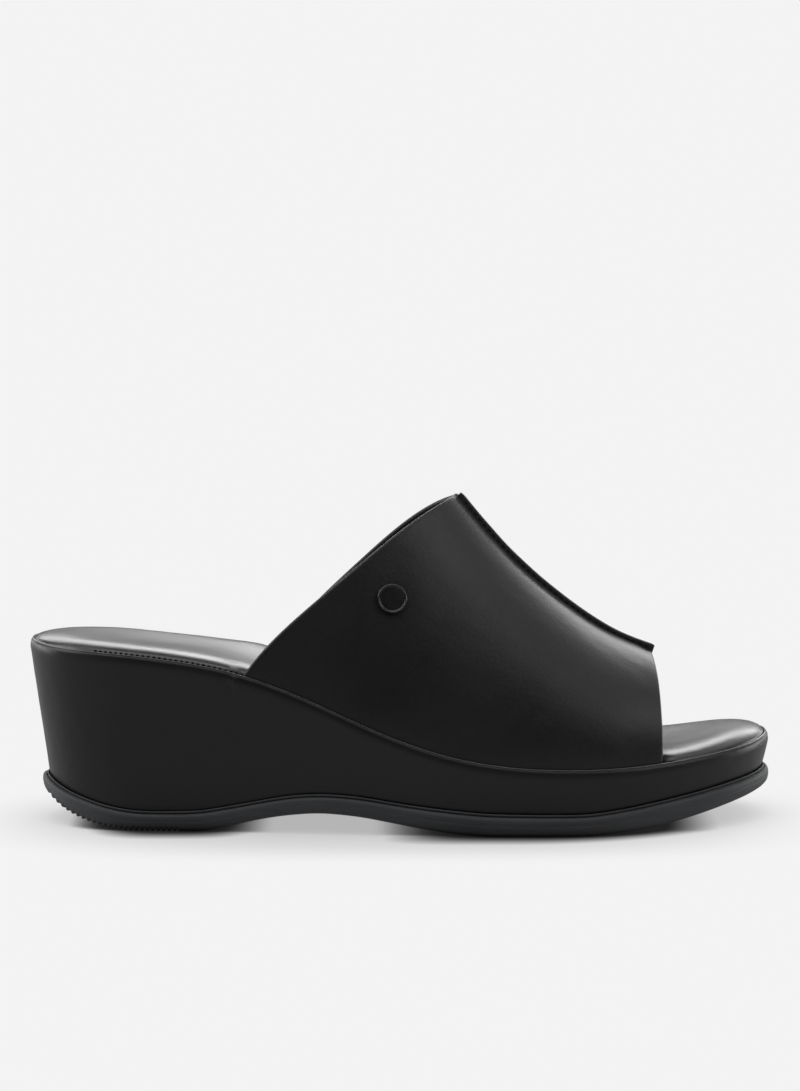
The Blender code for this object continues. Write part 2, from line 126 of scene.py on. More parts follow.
TAPER = np.array(  # s, inset of the wedge's foot
    [
        [0.0, 6.2],
        [14.0, 5.0],
        [34.0, 3.2],
        [70.0, 2.2],
        [110.0, 1.6],
        [170.0, 1.4],
        [220.0, 1.6],
        [246.4, 2.2],
    ]
)
CREST = np.array(  # s, z, y
    [
        [140.4, 108.6, 0.75],
        [141.6, 107.2, 0.75],
        [153.8, 92.7, 1.15],
        [167.4, 79.4, 1.65],
        [180.9, 68.6, 2.25],
        [194.7, 60.0, 2.95],
        [206.4, 55.2, 3.55],
        [208.4, 54.5, 3.65],
    ]
)
GIRTH = np.array(  # u, s lateral foot, s medial foot, s crest, fullness, lateral bow, medial bow
    [
        [0.00, 71.8, 81.5, 141.6, 1.10, -4.0, -4.4],
        [0.33, 116.0, 121.0, 163.0, 1.06, -1.6, -1.6],
        [0.67, 162.0, 163.0, 184.8, 0.98, 0.0, 0.0],
        [1.00, 208.2, 204.6, 206.4, 0.92, 0.9, 0.9],
    ]
)
PAD = np.array(  # s, footbed's height above the feather line
    [
        [0.0, 2.3],
        [12.0, 2.7],
        [60.0, 3.0],
        [120.0, 3.1],
        [200.0, 3.2],
        [246.4, 3.0],
    ]
)


# ---- curves through tables, for whole arrays -----------------------------------------------------------------------
def spline(table, column):
    x, y = table[:, 0], table[:, column]
    n, h = len(x), np.diff(x)
    a, b = np.eye(n), np.zeros(n)
    for i in range(1, n - 1):
        a[i, i - 1 : i + 2] = h[i - 1], 2 * (h[i - 1] + h[i]), h[i]
        b[i] = 6 * ((y[i + 1] - y[i]) / h[i] - (y[i] - y[i - 1]) / h[i - 1])
    m = np.linalg.solve(a, b)

    def at(v):
        v = np.clip(np.asarray(v, float), x[0], x[-1])
        i = np.clip(np.searchsorted(x, v) - 1, 0, n - 2)
        p, q = (x[i + 1] - v) / h[i], (v - x[i]) / h[i]
        return (
            p * y[i]
            + q * y[i + 1]
            + h[i] ** 2 / 6 * ((p**3 - p) * m[i] + (q**3 - q) * m[i + 1])
        )

    return at


def steady(table, column):
    x, y = table[:, 0], table[:, column]
    h, d = np.diff(x), np.diff(y) / np.diff(x)
    m = np.zeros(len(x))
    for i in range(1, len(x) - 1):
        if d[i - 1] * d[i] > 0:
            w1, w2 = 2 * h[i] + h[i - 1], h[i] + 2 * h[i - 1]
            m[i] = (w1 + w2) / (w1 / d[i - 1] + w2 / d[i])
    m[0], m[-1] = d[0], d[-1]

    def at(v):
        v = np.clip(np.asarray(v, float), x[0], x[-1])
        i = np.clip(np.searchsorted(x, v) - 1, 0, len(x) - 2)
        t = (v - x[i]) / h[i]
        return (
            (1 + 2 * t) * (1 - t) ** 2 * y[i]
            + t * (1 - t) ** 2 * h[i] * m[i]
            + t * t * (3 - 2 * t) * y[i + 1]
            + t * t * (t - 1) * h[i] * m[i + 1]
        )

    return at


def smooth_step(v):
    v = np.clip(v, 0.0, 1.0)
    return v * v * (3 - 2 * v)


def bump(v, centre, width):
    return np.exp(-(((v - centre) / width) ** 2))


plan_centre, plan_lat, plan_med = (spline(PLAN, k) for k in (1, 2, 3))
feather_z, feather_rise = spline(FEATHER, 1), steady(FEATHER, 2)


def eased(curve, width):
    """The same curve with its corners rounded over about this length."""
    v = np.arange(-20.0, LENGTH + 20.0, 0.5)
    reach = np.arange(-3 * width, 3 * width + 0.25, 0.5)
    weight = np.exp(-((reach / width) ** 2))
    end = 4.0  # past the ends the curve goes on in a straight line
    raw = np.where(v < 0, curve(0) + v * (curve(end) - curve(0)) / end, curve(v))
    last = (curve(LENGTH) - curve(LENGTH - end)) / end
    raw = np.where(v > LENGTH, curve(LENGTH) + (v - LENGTH) * last, raw)
    soft = np.convolve(raw, weight / weight.sum(), "same")
    return lambda at: np.interp(at, v, soft)


lip_z, tread_z = eased(steady(SOLE, 1), 4.5), eased(steady(SOLE, 2), 3.0)
taper = steady(TAPER, 1)
crest_z, crest_y = spline(CREST, 1), spline(CREST, 2)
girth_lat, girth_med, girth_crest, girth_full, bow_lat, bow_med = (
    steady(GIRTH, k) for k in (1, 2, 3, 4, 5, 6)
)
pad_height = steady(PAD, 1)


def end_curve(d, reach, power):
    t = np.clip(np.asarray(d, float) / reach, 0.0, 1.0)
    return np.maximum(0.0, 1 - (1 - t) ** power) ** (1 / power)


def edge_y(s, side):
    side = np.asarray(side)
    width = np.where(side < 0, plan_lat(s), plan_med(s))
    toe = np.where(side < 0, TOE_CAP_LAT, TOE_CAP_MED)
    width = (
        width
        * end_curve(s, HEEL_CAP, HEEL_ROUND)
        * end_curve(LENGTH - np.asarray(s, float), toe, TOE_ROUND)
    )
    return plan_centre(s) + side * width


def station(x):
    return np.clip(np.asarray(x, float) - X_BACK, 0.0, LENGTH)


def seat_z(x, y):
    s = station(x)
    low, high = edge_y(s, -1), edge_y(s, 1)
    t = np.clip((y - low) / np.maximum(high - low, 1e-6), 0.0, 1.0)
    t = np.where(high - low < 1e-6, 0.5, t)
    return feather_z(s) + feather_rise(s) * t * t * (3 - 2 * t)


# ---- a small smooth noise in the plane of s and arc, the same every run ----------------------------------------------
def waves(seed, count, shortest, longest):
    r = np.random.default_rng(seed)
    k = 2 * np.pi / r.uniform(shortest, longest, count)
    turn = r.uniform(0, 2 * np.pi, count)
    lean = r.uniform(0, 2 * np.pi, count)
    up = r.uniform(-1, 1, count)

    def at(p):
        total = np.zeros(p.shape[:-1])
        for a, b, c, d in zip(k, turn, lean, up):
            total += np.sin(
                a * (p[..., 0] * np.cos(c) + p[..., 1] * np.sin(c) + p[..., 2] * d) + b
            )
        return total / math.sqrt(count)

    return at


# ---- rings round the plan outline ------------------------------------------------------------------------------------
class Outline:
    """The plan outline as points and outward normals, up the lateral side and back down the medial one."""

    def __init__(self, step=1.1, extra=()):
        ends = LENGTH * (1 - np.cos(np.linspace(0, np.pi, 121))) / 2
        rows = [ends, np.arange(0, LENGTH, step)]
        rows += [np.arange(a, b, c) for a, b, c in extra]
        row = np.unique(np.round(np.clip(np.concatenate(rows), 0, LENGTH), 3))
        keep = [0.0]
        for v in row[1:-1]:
            if v - keep[-1] > 0.12 or v < 1.0 or v > LENGTH - 1.0:
                keep.append(v)
        row = np.array(keep + [LENGTH])
        self.n = len(row) - 1
        self.s = np.concatenate([row, row[-2:0:-1]])
        self.side = np.concatenate([-np.ones(len(row)), np.ones(len(row) - 2)])
        self.p = np.stack([X_BACK + self.s, edge_y(self.s, self.side)], -1)
        fine = 0.02
        a, b = np.maximum(self.s - fine, 0), np.minimum(self.s + fine, LENGTH)
        along = np.stack([b - a, edge_y(b, self.side) - edge_y(a, self.side)], -1)
        normal = np.stack([-along[:, 1], along[:, 0]], -1) * self.side[:, None]
        normal /= np.linalg.norm(normal, axis=1, keepdims=True)
        normal[0], normal[self.n] = (-1, 0), (1, 0)
        self.normal = normal
        gap = np.linalg.norm(np.roll(self.p, -1, 0) - self.p, axis=1)
        self.arc = np.concatenate([[0.0], np.cumsum(gap)[:-1]])
        self.around = float(gap.sum())

    def ring(self, offset, height):
        """Points of the outline moved out by offset, at height(x, y), both numbers or arrays."""
        xy = self.p + self.normal * np.broadcast_to(offset, self.s.shape)[:, None]
        z = height(xy[:, 0], xy[:, 1]) if callable(height) else height
        return np.column_stack([xy, np.broadcast_to(z, self.s.shape)])


def add_piece(name, vertices, faces, materials, smooth=True, face_slots=None):
    mesh = bpy.data.meshes.new(name)
    mesh.from_pydata((np.asarray(vertices) * MM).tolist(), [], faces)
    mesh.validate()
    for m in materials:
        mesh.materials.append(m)
    if face_slots is not None:
        mesh.polygons.foreach_set("material_index", np.asarray(face_slots, np.int32))
    bm = bmesh.new()
    bm.from_mesh(mesh)
    bmesh.ops.recalc_face_normals(bm, faces=bm.faces)
    bm.to_mesh(mesh)
    bm.free()
    if smooth:
        mesh.shade_smooth()
    obj = bpy.data.objects.new(name, mesh)
    bpy.context.scene.collection.objects.link(obj)
    return obj


def ring_body(name, outline, rings, low_cap, high_cap, across, materials):
    """Rings from the low cap to the high one. A cap is a function of x and y, drawn as a grid between the ring's two sides."""
    n, count = outline.n, len(outline.s)
    vertices = [np.asarray(r, float) for r in rings]
    faces = []
    for k in range(len(rings) - 1):
        a, b = k * count, (k + 1) * count
        for i in range(count):
            j = (i + 1) % count
            faces.append((a + i, a + j, b + j, b + i))
    total = len(rings) * count
    for base, ring, cap in (
        (0, vertices[0], low_cap),
        ((len(rings) - 1) * count, vertices[-1], high_cap),
    ):
        if cap is None:
            continue
        rows = []
        left, right = ring[1:n], ring[count - 1 : n : -1]
        t = np.linspace(0, 1, across + 1)[1:-1]
        inner = left[:, None, :2] * (1 - t)[None, :, None] + right[:, None, :2] * t[
            None, :, None
        ]
        z = cap(inner[..., 0], inner[..., 1])
        vertices.append(np.concatenate([inner, z[..., None]], -1).reshape(-1, 3))
        for i in range(1, n):
            start = total + (i - 1) * (across - 1)
            rows.append(
                [base + i]
                + list(range(start, start + across - 1))
                + [base + count - i]
            )
        total += (n - 1) * (across - 1)
        for low, high in zip(rows, rows[1:]):
            for j in range(across):
                faces.append((low[j], low[j + 1], high[j + 1], high[j]))
        for tip, row in ((base, rows[0]), (base + n, rows[-1])):
            for j in range(across):
                faces.append((tip, row[j], row[j + 1]))
    return add_piece(name, np.concatenate(vertices), faces, materials)


# ---- materials -------------------------------------------------------------------------------------------------------
class Finish:
    """A Principled material with helpers for the node work."""

    def __init__(self, name, metallic=0.0, coat=0.0, coat_roughness=0.2, specular=0.5):
        self.m = bpy.data.materials.new(name)
        self.m.use_nodes = True
        self.tree = self.m.node_tree
        self.shader = self.tree.nodes["Principled BSDF"]
        self.shader.inputs["Metallic"].default_value = metallic
        self.shader.inputs["Coat Weight"].default_value = coat
        self.shader.inputs["Coat Roughness"].default_value = coat_roughness
        self.shader.inputs["Specular IOR Level"].default_value = specular
        self.place = self.node("ShaderNodeTexCoord").outputs["Object"]

    def node(self, kind, **values):
        n = self.tree.nodes.new(kind)
        for k, v in values.items():
            if hasattr(n, k):
                setattr(n, k, v)
            else:
                n.inputs[k.replace("_", " ")].default_value = v
        return n

    def link(self, a, b):
        self.tree.links.new(a, b)
        return b

    def noise(self, scale, detail=3.0, roughness=0.5, place=None):
        n = self.node("ShaderNodeTexNoise")
        n.inputs["Scale"].default_value = scale
        n.inputs["Detail"].default_value = detail
        n.inputs["Roughness"].default_value = roughness
        self.link(place or self.place, n.inputs["Vector"])
        return n.outputs["Fac"]

    def cells(self, scale, feature="F1", smoothness=0.0, place=None):
        n = self.node("ShaderNodeTexVoronoi")
        n.feature = feature
        n.inputs["Scale"].default_value = scale
        if feature == "SMOOTH_F1":
            n.inputs["Smoothness"].default_value = smoothness
        self.link(place or self.place, n.inputs["Vector"])
        return n.outputs["Distance"]

    def stretch(self, x, y, z):
        n = self.node("ShaderNodeMapping")
        n.inputs["Scale"].default_value = (x, y, z)
        self.link(self.place, n.inputs["Vector"])
        return n.outputs["Vector"]

    def remap(self, value, low, high, to_low=0.0, to_high=1.0):
        n = self.node("ShaderNodeMapRange")
        for k, v in zip(
            ("From Min", "From Max", "To Min", "To Max"), (low, high, to_low, to_high)
        ):
            n.inputs[k].default_value = v
        self.link(value, n.inputs["Value"])
        return n.outputs["Result"]

    def math(self, operation, a, b):
        n = self.node("ShaderNodeMath")
        n.operation = operation
        for socket, v in zip(n.inputs, (a, b)):
            if isinstance(v, (int, float)):
                socket.default_value = v
            else:
                self.link(v, socket)
        return n.outputs[0]

    def colour(self, value, low, high):
        n = self.node("ShaderNodeMix")
        n.data_type = "RGBA"
        self.link(value, n.inputs["Factor"])
        n.inputs[6].default_value = (*low, 1)
        n.inputs[7].default_value = (*high, 1)
        self.link(n.outputs[2], self.shader.inputs["Base Color"])
        return n.outputs[2]

    def rough(self, value, low, high):
        self.link(
            self.remap(value, 0.0, 1.0, low, high), self.shader.inputs["Roughness"]
        )

    def bumps(self, *layers):
        """Layers of (height, distance in metres, strength), one on top of the other."""
        before = None
        for height, distance, strength in layers:
            n = self.node("ShaderNodeBump")
            n.inputs["Distance"].default_value = distance
            n.inputs["Strength"].default_value = strength
            self.link(height, n.inputs["Height"])
            if before is not None:
                self.link(before, n.inputs["Normal"])
            before = n.outputs["Normal"]
        self.link(before, self.shader.inputs["Normal"])


def leather(
    name,
    dark,
    light,
    rough,
    grain=0.00006,
    coat=0.0,
    specular=0.5,
    cell=900.0,
    wear=0.5,
    folds=1.0,
):
    """Smooth leather: fine pebbled grain with pores, slow unevenness of tone and gloss, edges rubbed a little paler."""
    f = Finish(name, coat=coat, coat_roughness=0.25, specular=specular)
    pebble = f.cells(cell, "SMOOTH_F1", 0.4)
    fold = f.noise(240.0, 5.0, 0.6)
    pores = f.noise(2600.0, 2.0, 0.5)
    slow = f.noise(26.0, 3.0, 0.5)
    patch = f.remap(slow, 0.35, 0.68)
    speck = f.remap(f.noise(700.0, 3.0, 0.55), 0.4, 0.7)
    tone = f.math("ADD", f.math("MULTIPLY", patch, 0.7), f.math("MULTIPLY", speck, 0.3))
    edges = f.node("ShaderNodeNewGeometry").outputs["Pointiness"]
    worn = f.math("MULTIPLY", f.remap(edges, 0.52, 0.60), wear)
    f.colour(f.math("MAXIMUM", tone, worn), dark, light)
    f.rough(tone, *rough)
    f.bumps(
        (slow, 0.0004, 0.2 * folds),
        (fold, 0.00004, 0.3 * folds),
        (pebble, grain, 0.5),
        (pores, grain * 0.25, 0.5),
    )
    return f.m


def rubber(name):
    """Moulded dark grey rubber: matte, faint mould streaks along the sole, dust-like speckle."""
    f = Finish(name, specular=0.35)
    fine = f.noise(1500.0, 3.0, 0.6)
    slow = f.noise(35.0, 3.0, 0.5)
    streak = f.noise(60.0, 2.0, 0.5, f.stretch(1.0, 1.0, 14.0))
    tone = f.math(
        "ADD", f.math("MULTIPLY", slow, 0.6), f.math("MULTIPLY", streak, 0.4)
    )
    f.colour(f.remap(tone, 0.35, 0.65), (0.044, 0.046, 0.049), (0.062, 0.064, 0.068))
    f.rough(tone, 0.52, 0.68)
    f.bumps((streak, 0.00008, 0.5), (fine, 0.00003, 0.6))
    return f.m


def lining(name):
    """Thin suede-like lining inside the upper."""
    f = Finish(name, specular=0.3)
    nap = f.noise(900.0, 4.0, 0.65)
    slow = f.noise(40.0, 3.0, 0.5)
    f.colour(f.remap(slow, 0.35, 0.65), (0.010, 0.010, 0.010), (0.019, 0.019, 0.019))
    f.rough(nap, 0.65, 0.85)
    f.bumps((slow, 0.0004, 0.3), (nap, 0.00007, 0.6))
    f.shader.inputs["Sheen Weight"].default_value = 0.15
    return f.m


def enamel(name):
    """Black enamelled metal with a faint turned grain and rubbed high edges."""
    f = Finish(name, metallic=0.0, coat=0.5, coat_roughness=0.1, specular=0.6)
    turned = f.noise(1400.0, 2.0, 0.5, f.stretch(1.0, 1.0, 6.0))
    slow = f.noise(300.0, 3.0, 0.5)
    edges = f.remap(f.node("ShaderNodeNewGeometry").outputs["Pointiness"], 0.52, 0.62)
    f.colour(
        f.math("MAXIMUM", f.math("MULTIPLY", slow, 0.3), edges),
        (0.004, 0.004, 0.004),
        (0.030, 0.030, 0.030),
    )
    f.rough(slow, 0.22, 0.34)
    f.bumps((turned, 0.00002, 0.5), (slow, 0.00003, 0.4))
    return f.m


def thread(name, dark, light):
    """Waxed thread: twisted ply, drawn as fine slanting bands."""
    f = Finish(name, specular=0.12)
    w = f.node("ShaderNodeTexWave")
    w.inputs["Scale"].default_value = 900.0
    w.inputs["Distortion"].default_value = 1.5
    f.link(f.stretch(1.0, 0.6, 0.8), w.inputs["Vector"])
    f.colour(w.outputs["Fac"], dark, light)
    f.rough(f.noise(800.0), 0.5, 0.7)
    f.bumps((w.outputs["Fac"], 0.00006, 0.6))
    return f.m


M_UPPER = leather("upper_leather", (0.0055, 0.0056, 0.0058), (0.0085, 0.0086, 0.0088), (0.40, 0.50), grain=0.00005, specular=0.45)
M_COVER = leather("wedge_leather", (0.0065, 0.0066, 0.0064), (0.0100, 0.0101, 0.0098), (0.36, 0.44), grain=0.00004, coat=0.06, specular=0.35)
# Paler leather for the wedge's bead: a painted highlight standing for its thin light line.
M_BEAD_PAINTED_HIGHLIGHT = leather("bead_painted_highlight_leather", (0.036, 0.036, 0.035), (0.054, 0.054, 0.052), (0.26, 0.34), grain=0.00002, coat=0.3, specular=0.6)
M_FOOTBED = leather("footbed_leather", (0.016, 0.016, 0.0155), (0.022, 0.022, 0.0215), (0.30, 0.36), grain=0.00001, coat=0.25, specular=0.45, folds=0.3)
M_LINING = lining("upper_lining")
M_RUBBER = rubber("sole_rubber")
M_ENAMEL = enamel("rivet_enamel")
M_HOLE = thread("sunk_thread", (0.0015, 0.0015, 0.0015), (0.004, 0.004, 0.004))


# ---- the covered wedge -----------------------------------------------------------------------------------------------
CREASE_S = 69.4  # where the cover's edge bulges below the collar's foot


def make_wedge():
    o = Outline(1.0, extra=[(66.0, 73.0, 0.2)])
    foot = -taper(o.s)
    lateral = o.side < 0
    uneven = waves(5, 14, 14, 60)
    small = waves(6, 18, 5, 13)

    def foot_z(x, y):
        return lip_z(station(x)) - LIP_HIGH + 0.3

    rings = []
    shares = [0.0, 0.02, 0.04, 0.06, 0.085, 0.12] + list(np.linspace(0.16, 1.0, 25))
    for share in shares:
        offset = foot * (1 - share)
        xy = o.p + o.normal * offset[:, None]
        low = foot_z(xy[:, 0], xy[:, 1])
        high = seat_z(xy[:, 0], xy[:, 1]) - 3.0
        z = low + (high - low) * share
        p = np.column_stack([xy, z])
        above = z - (low + LIP_HIGH - 0.3)  # height over the sole's lip
        p[:, :2] -= o.normal * (0.24 * np.exp(-np.maximum(above, 0) / 0.45))[:, None]
        free = np.sin(np.pi * np.clip(share, 0, 1)) ** 0.5
        swell = 0.10 * uneven(p) * free + 0.035 * small(p) * free
        below = seat_z(xy[:, 0], xy[:, 1]) - z
        pinch = np.where(
            lateral,
            0.50 * bump(o.s, CREASE_S, 0.95) * bump(below, 3.0, 2.2)
            - 0.16 * bump(o.s, CREASE_S - 2.2, 1.1) * bump(below, 3.4, 2.6),
            0.0,
        )
        p[:, :2] += o.normal * (swell + pinch)[:, None]
        rings.append(p)
    # The shoulder, a small step, then the folded edge as a thin bead right beside the footbed.
    profile = [
        (0.03, 2.35),
        (0.08, 1.80),
        (0.15, 1.32),
        (0.26, 0.92),
        (0.40, 0.62),
        (0.56, 0.41),
        (0.69, 0.29),
        (0.74, 0.20),
        (0.75, 0.07),
        (0.81, -0.06),
        (0.94, -0.16),
        (1.10, -0.18),
        (1.26, -0.10),
        (1.37, 0.05),
        (1.41, 0.30),
        (1.44, 1.7),
        (2.2, 1.8),
        (5.5, 1.8),
    ]
    ripple = waves(8, 16, 2.2, 7.0)
    for inset, drop in profile:
        xy = o.p - o.normal * inset
        z = seat_z(xy[:, 0], xy[:, 1]) - drop
        p = np.column_stack([xy, z])
        edge = min(1.0, max(0.0, 1 - drop / 2.6)) if inset < 1.35 else 0.0
        pinch = np.where(
            lateral,
            0.50 * bump(o.s, CREASE_S, 0.95) * bump(drop, 3.0, 2.2),
            0.0,
        )
        p[:, :2] += o.normal * (0.03 * ripple(p) * edge + pinch)[:, None]
        p[:, 2] += 0.025 * ripple(p[:, [1, 0, 2]]) * edge
        rings.append(p)

    def top(x, y):
        return seat_z(x, y) - 1.8

    count = len(o.s)
    first = len(shares) + 8  # the bead's faces get a paler leather: a painted highlight for the bead's thin light line
    obj = ring_body("wedge_cover", o, rings, foot_z, top, 8, [M_COVER, M_BEAD_PAINTED_HIGHLIGHT])
    slots = np.zeros(len(obj.data.polygons), np.int32)
    slots[first * count : (first + 4) * count] = 1
    obj.data.polygons.foreach_set("material_index", slots)
    return obj


# ---- the footbed -----------------------------------------------------------------------------------------------------
def stitched(s, side):
    """1 where the footbed's edge is sewn to the cover, round the heel's sides."""
    last = np.where(np.asarray(side) < 0, girth_lat(0.0), girth_med(0.0)) - 1.5
    return smooth_step((np.asarray(s) - 20.0) / 4.0) * smooth_step((last + 1.0 - s) / 2.0)


def pad_inset(s, side):
    first = np.where(side < 0, girth_lat(0.0), girth_med(0.0)) - 1.0
    last = np.where(side < 0, girth_lat(1.0), girth_med(1.0)) + 1.0
    ramp = 4.5
    behind = smooth_step((s - (first - ramp)) / ramp) * smooth_step(
        ((last + ramp) - s) / ramp
    )
    clear = 0.22
    return clear + behind * (UPPER_INSET + WALL + 0.6 - clear)


def make_footbed():
    o = Outline(0.9)
    start = RIM_INSET + pad_inset(o.s, o.side)
    soft = waves(11, 12, 18, 55)
    small = waves(12, 16, 5, 12)
    round_off = 16.0
    start_at = 0.006  # the shoulder meets the edge before it would stand upright
    sewn = stitched(o.s, o.side)  # where the edge is sewn down it meets the cover

    def height_at(x, y):
        """The top's height above the seat, well inside the edge."""
        s = station(x)
        low, high = edge_y(s, -1), edge_y(s, 1)
        t = np.clip((y - low) / np.maximum(high - low, 1e-6), 0.0, 1.0)
        dish = (
            0.8
            * np.sin(np.pi * t) ** 2
            * smooth_step((s - 12) / 35)
            * smooth_step((LENGTH - s - 12) / 35)
        )
        heel = 0.35 * bump(s, 9, 12) - 0.25 * bump(s, 34, 18) * bump(y, -2.0, 15.0)
        toes = 1.25 * bump(s, 238, 12) - 0.9 * bump(s, 211, 15) * (0.15 + 0.85 * t)
        return pad_height(s) - dish + heel + toes

    edge = o.p - o.normal * start[:, None]
    side_top = 0.08
    corner = (1 - (1 - start_at) ** 3) ** 0.5

    def surface(x, y, inset):
        """The padded top: a round shoulder near the edge, then the dished middle, with slow unevenness."""
        t = start_at + (1 - start_at) * np.minimum(inset / round_off, 1.0)
        rise = ((1 - (1 - t) ** 3) ** 0.5 - corner) / (1 - corner)
        flat = np.stack([x, y, np.zeros_like(x)], -1)
        uneven = 0.04 * soft(flat) * np.minimum(1.0, inset / 3) + 0.01 * small(flat) * np.minimum(1.0, inset / 1.5)
        return seat_z(x, y) + side_top + (height_at(x, y) - side_top) * rise + uneven

    rings = []
    tuck = 0.3 * (1 - 0.6 * sewn)
    for inset, height in ((1.0, -1.2), (1.0, -0.8), (0.8, -0.6), (0.45, -0.4), (0.15, -0.22), (0.0, -0.06)):
        xy = o.p - o.normal * (start + inset * tuck)[:, None]
        rings.append(np.column_stack([xy, seat_z(xy[:, 0], xy[:, 1]) + height]))
    for inset in (0.0, 0.05, 0.15, 0.32, 0.6, 1.0, 1.5, 2.1, 2.9, 3.8, 4.8, 5.9):
        xy = edge - o.normal * inset
        rings.append(np.column_stack([xy, surface(xy[:, 0], xy[:, 1], np.full(len(xy), inset))]))

    def bottom(x, y):
        return seat_z(x, y) - 1.2

    def top(x, y):
        inset = np.full(np.shape(x), 1e3)
        for a, b in edge:
            inset = np.minimum(inset, np.hypot(x - a, y - b))
        return surface(x, y, inset)

    return ring_body("footbed", o, rings, bottom, top, 64, [M_FOOTBED])


# ---- the upper -------------------------------------------------------------------------------------------------------
def foot_point(s, side, tuck):
    fine = 0.02
    a, b = s - fine, s + fine
    along = np.stack([b - a, edge_y(b, side) - edge_y(a, side)], -1)
    normal = np.stack([-along[..., 1], along[..., 0]], -1) * np.asarray(side)[..., None]
    normal /= np.linalg.norm(normal, axis=-1, keepdims=True)
    p = np.stack([X_BACK + s, edge_y(s, side)], -1) - normal * (RIM_INSET + UPPER_INSET)
    z = seat_z(p[..., 0], p[..., 1]) - tuck
    return np.concatenate([p, z[..., None]], -1)


def upper_point(u, v, tuck=UPPER_TUCK):
    """The outer face: u from collar to toe opening, v from the lateral foot (0) over the crest (0.5) to the medial foot (1)."""
    u, v = np.broadcast_arrays(np.asarray(u, float), np.asarray(v, float))
    side = np.where(v <= 0.5, -1.0, 1.0)
    turn = np.where(v <= 0.5, v, 1 - v) * np.pi
    uc = np.clip(u, 0, 1)
    foot = foot_point(np.where(side < 0, girth_lat(uc), girth_med(uc)), side, tuck)
    s_crest = girth_crest(uc)
    crest = np.stack([X_BACK + s_crest, crest_y(s_crest), crest_z(s_crest)], -1)
    rise = np.sin(turn)
    wide = np.maximum(np.cos(turn), 0.0) ** girth_full(uc)
    bow = np.where(side < 0, bow_lat(uc), bow_med(uc)) * (1 - np.abs(2 * rise - 1) ** 3.5)
    lean = crest - foot
    tilt = np.arctan2(lean[..., 2], lean[..., 0])
    return np.stack(
        [
            foot[..., 0] + lean[..., 0] * rise + bow * np.sin(tilt),
            crest[..., 1] + (foot[..., 1] - crest[..., 1]) * wide,
            foot[..., 2] + lean[..., 2] * rise - bow * np.cos(tilt),
        ],
        -1,
    )


def upper_normal(u, v, e=0.004):
    """Outward normals on a grid of u (rows) and v (columns)."""
    ua, ub = np.clip(u - e, 0, 1), np.clip(u + e, 0, 1)
    va, vb = np.clip(v - e, 0, 1), np.clip(v + e, 0, 1)
    du = upper_point(ub, v) - upper_point(ua, v)
    dv = upper_point(u, vb) - upper_point(u, va)
    normal = np.cross(dv, du)
    normal /= np.maximum(np.linalg.norm(normal, axis=-1, keepdims=True), 1e-12)
    middle = np.array([20.0, 1.0, 45.0])
    flip = np.sign(np.sum(normal * (upper_point(u, v) - middle), -1, keepdims=True))
    return normal * np.where(flip == 0, 1, flip)


